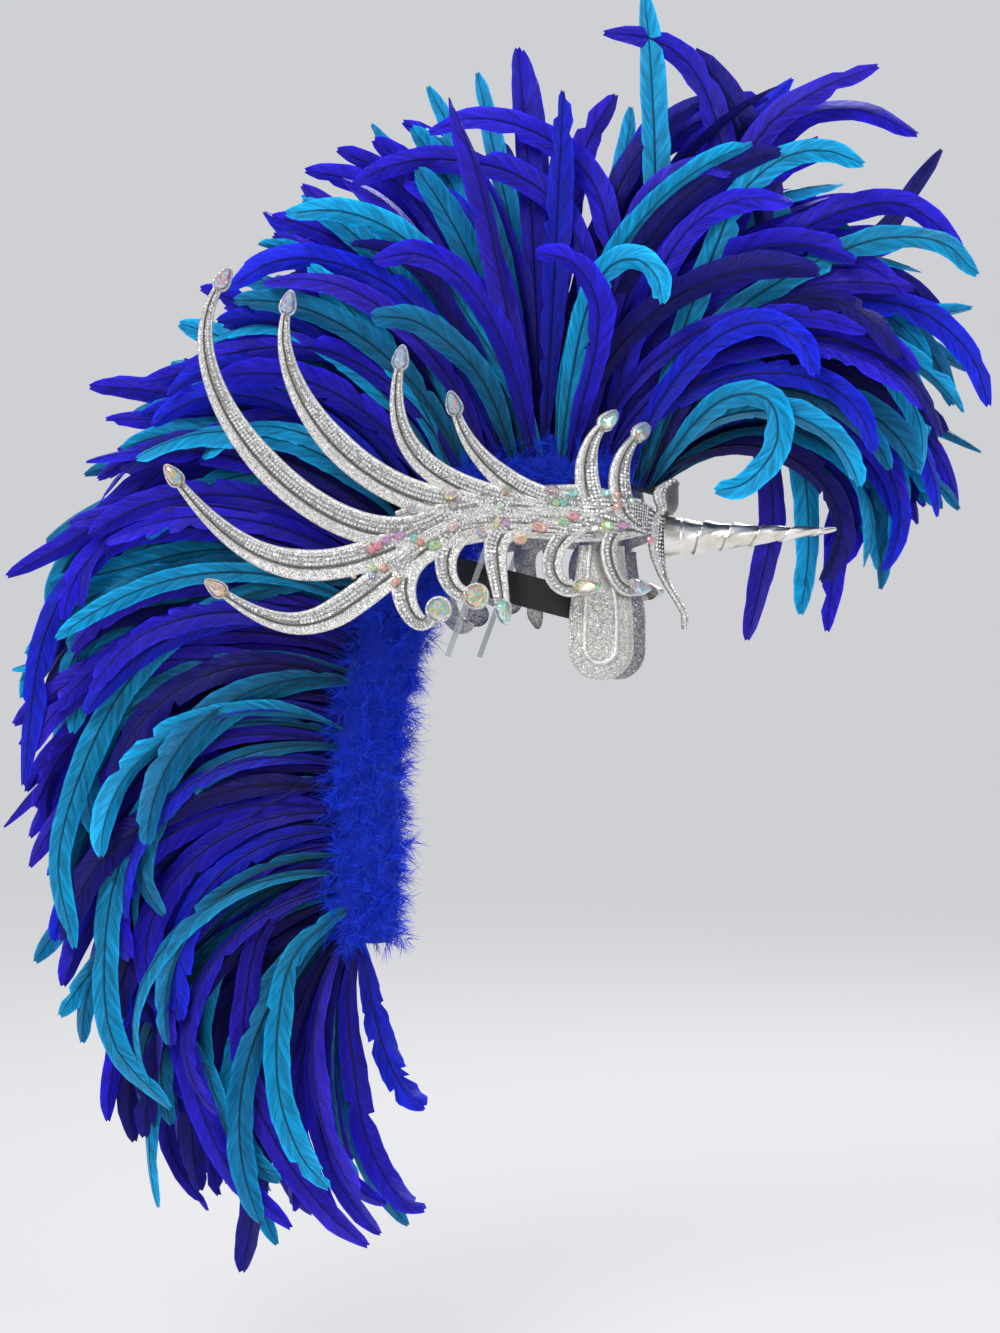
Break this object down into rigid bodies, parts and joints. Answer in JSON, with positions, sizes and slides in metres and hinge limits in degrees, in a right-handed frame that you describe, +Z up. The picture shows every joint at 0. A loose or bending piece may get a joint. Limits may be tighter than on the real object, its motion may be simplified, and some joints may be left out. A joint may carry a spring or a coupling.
{
  "type": "showgirl feather headdress",
  "caption": "Showgirl crown with a horn, glittered side wings set with crystals, temple tabs and a tall crest of dyed royal blue and turquoise feathers over a fluffy boa.",
  "frame": {"origin": "middle of the opening that the head goes into, level with the middle of the band", "axes": "+X to the wearer's front, where the horn points; +Y to the wearer's left; +Z up"},
  "size_m": [0.8657, 0.2918, 1.1069],
  "materials": {
    "band_fabric": "matt black ribbed tape",
    "frame_plastic": "matt black, hidden under the boa",
    "glitter_foam": "silver glitter on craft foam, with pale cut edges",
    "crystal": "clear faceted crystals with mirrored backs",
    "aurora_crystal": "faceted stones with a rainbow coating",
    "foil": "wrinkled silver foil with a warm cast",
    "clear_plastic": "clear plastic strip",
    "marabou": "fluffy royal blue down",
    "feather_royal": "royal blue dyed cock feathers with a soft sheen",
    "feather_turquoise": "turquoise dyed cock feathers with a soft sheen"
  },
  "bodies": {
    "root": {"head_band": "band_fabric", "front_plate": "glitter_foam", "horn": "foil", "spine_rib": "frame_plastic", "side_plate_right": "glitter_foam", "crystal_trim_right": "crystal", "temple_tab_right": "glitter_foam", "clear_stay_right": "clear_plastic", "tip_stone_right_1": "aurora_crystal", "tip_stone_right_2": "aurora_crystal", "tip_stone_right_3": "aurora_crystal", "tip_stone_right_4": "aurora_crystal", "tip_stone_right_5": "aurora_crystal", "tip_stone_right_6": "aurora_crystal", "tip_stone_right_7": "aurora_crystal", "tip_stone_right_8": "aurora_crystal", "tip_stone_right_9": "aurora_crystal", "tip_stone_right_10": "aurora_crystal", "tip_stone_right_11": "aurora_crystal", "tip_stone_right_12": "aurora_crystal", "tip_stone_right_13": "aurora_crystal", "side_plate_left": "glitter_foam", "crystal_trim_left": "crystal", "temple_tab_left": "glitter_foam", "clear_stay_left": "clear_plastic", "tip_stone_left_1": "aurora_crystal", "tip_stone_left_2": "aurora_crystal", "tip_stone_left_3": "aurora_crystal", "tip_stone_left_4": "aurora_crystal", "tip_stone_left_5": "aurora_crystal", "tip_stone_left_6": "aurora_crystal", "tip_stone_left_7": "aurora_crystal", "tip_stone_left_8": "aurora_crystal", "tip_stone_left_9": "aurora_crystal", "tip_stone_left_10": "aurora_crystal", "tip_stone_left_11": "aurora_crystal", "tip_stone_left_12": "aurora_crystal", "tip_stone_left_13": "aurora_crystal", "boa_front": "marabou", "crest_right_front": "feather_royal", "crest_centre_front": "feather_royal", "crest_left_front": "feather_royal", "boa_top": "marabou", "crest_right_top": "feather_royal", "crest_centre_top": "feather_royal", "crest_left_top": "feather_royal", "boa_back": "marabou", "crest_right_back": "feather_turquoise", "crest_centre_back": "feather_turquoise", "crest_left_back": "feather_turquoise", "boa_lower": "marabou", "crest_right_lower": "feather_royal", "crest_centre_lower": "feather_royal", "crest_left_lower": "feather_royal", "boa_tail": "marabou", "crest_right_tail": "feather_royal", "crest_centre_tail": "feather_royal", "crest_left_tail": "feather_royal"}
  },
  "joints": []
}
